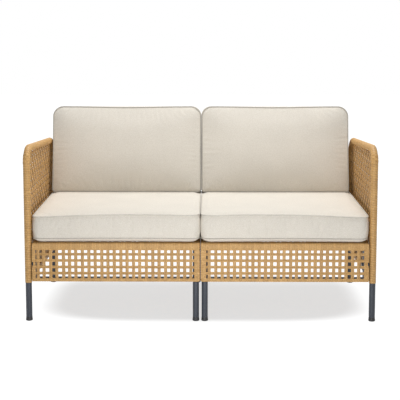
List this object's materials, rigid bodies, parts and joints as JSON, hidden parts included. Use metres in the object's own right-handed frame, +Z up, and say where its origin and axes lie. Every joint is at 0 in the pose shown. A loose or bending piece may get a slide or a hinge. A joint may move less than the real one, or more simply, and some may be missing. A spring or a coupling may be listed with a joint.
{
  "type": "patio loveseat",
  "caption": "Two-seat patio sofa in two woven modules on dark tube legs, with loose cream seat and back cushions.",
  "frame": {"origin": "middle of the part's box, on the floor under the feet", "axes": "+Z up, +X along the seat to the right as seen from the front, the front faces -Y"},
  "size_m": [1.408, 0.6802, 0.8187],
  "materials": {
    "wicker": "woven strands",
    "frame_steel": "powder coat",
    "cushion_fabric": "plain weave",
    "foot_plastic": "moulded",
    "bolt_steel": "blackened"
  },
  "bodies": {
    "left_module": {"left_seat_frame": "frame_steel", "left_front_apron": "wicker", "left_seat_deck": "wicker", "left_arm_legs": "frame_steel", "left_arm_loop": "wicker", "left_arm_panel": "wicker", "left_back_loop": "wicker", "left_back_panel": "wicker", "left_foot_caps": "foot_plastic", "left_arm_bolts": "bolt_steel", "left_arm_spacers": "foot_plastic", "left_back_bolts": "bolt_steel", "left_end_plugs": "foot_plastic"},
    "left_seat": {"left_seat_cushion": "cushion_fabric"},
    "left_back_rest": {"left_back_cushion": "cushion_fabric"},
    "right_module": {"right_seat_frame": "frame_steel", "right_front_apron": "wicker", "right_seat_deck": "wicker", "right_arm_legs": "frame_steel", "right_arm_loop": "wicker", "right_arm_panel": "wicker", "right_back_loop": "wicker", "right_back_panel": "wicker", "right_foot_caps": "foot_plastic", "right_arm_bolts": "bolt_steel", "right_arm_spacers": "foot_plastic", "right_back_bolts": "bolt_steel", "right_end_plugs": "foot_plastic"},
    "right_seat": {"right_seat_cushion": "cushion_fabric"},
    "right_back_rest": {"right_back_cushion": "cushion_fabric"}
  },
  "joints": [
    {"name": "modules_apart", "type": "slide", "parent": "left_module", "child": "right_module", "axis": [1, 0, 0], "range_m": [0, 0.3]},
    {"name": "left_seat_lift", "type": "slide", "parent": "left_module", "child": "left_seat", "axis": [0, 0, 1], "range_m": [0, 0.42]},
    {"name": "left_back_lift", "type": "slide", "parent": "left_seat", "child": "left_back_rest", "axis": [0, 0, 1], "range_m": [0, 0.3]},
    {"name": "right_seat_lift", "type": "slide", "parent": "right_module", "child": "right_seat", "axis": [0, 0, 1], "range_m": [0, 0.42]},
    {"name": "right_back_lift", "type": "slide", "parent": "right_seat", "child": "right_back_rest", "axis": [0, 0, 1], "range_m": [0, 0.3]}
  ]
}
